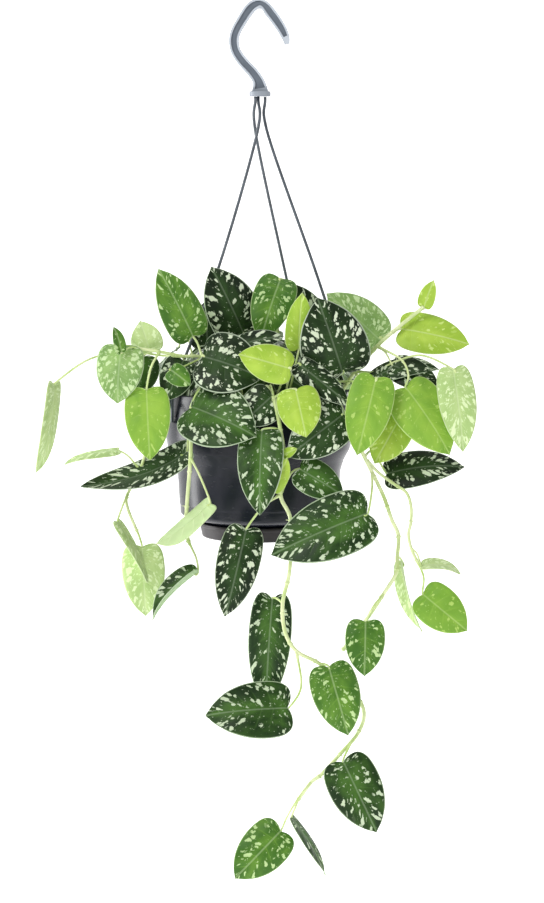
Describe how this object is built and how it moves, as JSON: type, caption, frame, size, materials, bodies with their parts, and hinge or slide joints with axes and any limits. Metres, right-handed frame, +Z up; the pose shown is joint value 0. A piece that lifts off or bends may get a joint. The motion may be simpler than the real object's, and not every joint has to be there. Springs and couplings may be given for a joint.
{
  "type": "potted pothos plant",
  "caption": "Satin pothos with silver-flecked heart-shaped leaves trailing from a dark hanging pot with saucer and plastic hook hanger.",
  "frame": {"origin": "middle of the flat seat inside the crown of the hook, where the plant hangs", "axes": "+Z up along the hanging direction, the fullest side of the plant faces -Y, +X to the right seen from the front"},
  "size_m": [0.381, 0.25, 0.7675],
  "materials": {
    "leaf_dark": "dark green leaf with silver flecks, satin",
    "leaf_mid": "mid green leaf with silver flecks, satin",
    "leaf_lime": "young lime green leaf, satin",
    "leaf_pale": "pale silvery green leaf, satin",
    "stem": "fresh pale green stem, smooth",
    "pot_plastic": "blue-black moulded plastic, glossy",
    "saucer_plastic": "dark grey moulded plastic, satin",
    "hanger_plastic": "slate grey moulded plastic, satin",
    "soil": "damp bark and peat potting mix"
  },
  "bodies": {
    "root": {"pot": "pot_plastic", "saucer": "saucer_plastic", "soil": "soil", "hanger_hook": "hanger_plastic", "strand_left": "hanger_plastic", "strand_right": "hanger_plastic", "strand_back": "hanger_plastic", "front_vine": "stem", "right_vine": "stem", "right_branch": "stem", "right_shoot": "stem", "left_shoot": "stem", "left_vine": "stem", "left_front_vine": "stem", "back_vine": "stem", "crown_leaf_01": "leaf_lime", "crown_leaf_02": "leaf_dark", "crown_leaf_03": "leaf_mid", "crown_leaf_04": "leaf_lime", "crown_leaf_05": "leaf_dark", "crown_leaf_06": "leaf_dark", "crown_leaf_07": "leaf_mid", "crown_leaf_08": "leaf_dark", "crown_leaf_09": "leaf_lime", "crown_leaf_10": "leaf_lime", "crown_leaf_11": "leaf_dark", "crown_leaf_12": "leaf_mid", "crown_leaf_13": "leaf_dark", "crown_leaf_14": "leaf_dark", "right_leaf_01": "leaf_lime", "right_leaf_02": "leaf_lime", "right_leaf_03": "leaf_lime", "right_leaf_04": "leaf_lime", "right_leaf_05": "leaf_pale", "right_leaf_06": "leaf_dark", "right_leaf_07": "leaf_mid", "right_leaf_08": "leaf_pale", "right_leaf_09": "leaf_mid", "right_leaf_10": "leaf_lime", "right_leaf_11": "leaf_pale", "front_leaf_01": "leaf_dark", "front_leaf_02": "leaf_dark", "front_leaf_03": "leaf_dark", "front_leaf_04": "leaf_mid", "front_leaf_05": "leaf_mid", "front_leaf_06": "leaf_mid", "front_leaf_07": "leaf_mid", "left_leaf_01": "leaf_mid", "left_leaf_02": "leaf_pale", "left_leaf_03": "leaf_lime", "left_leaf_04": "leaf_pale", "left_leaf_05": "leaf_dark", "left_leaf_06": "leaf_pale", "left_leaf_07": "leaf_pale", "left_leaf_08": "leaf_mid", "back_leaf_01": "leaf_dark", "back_leaf_02": "leaf_mid", "back_leaf_03": "leaf_dark", "back_leaf_04": "leaf_dark", "back_leaf_05": "leaf_lime"}
  },
  "joints": []
}
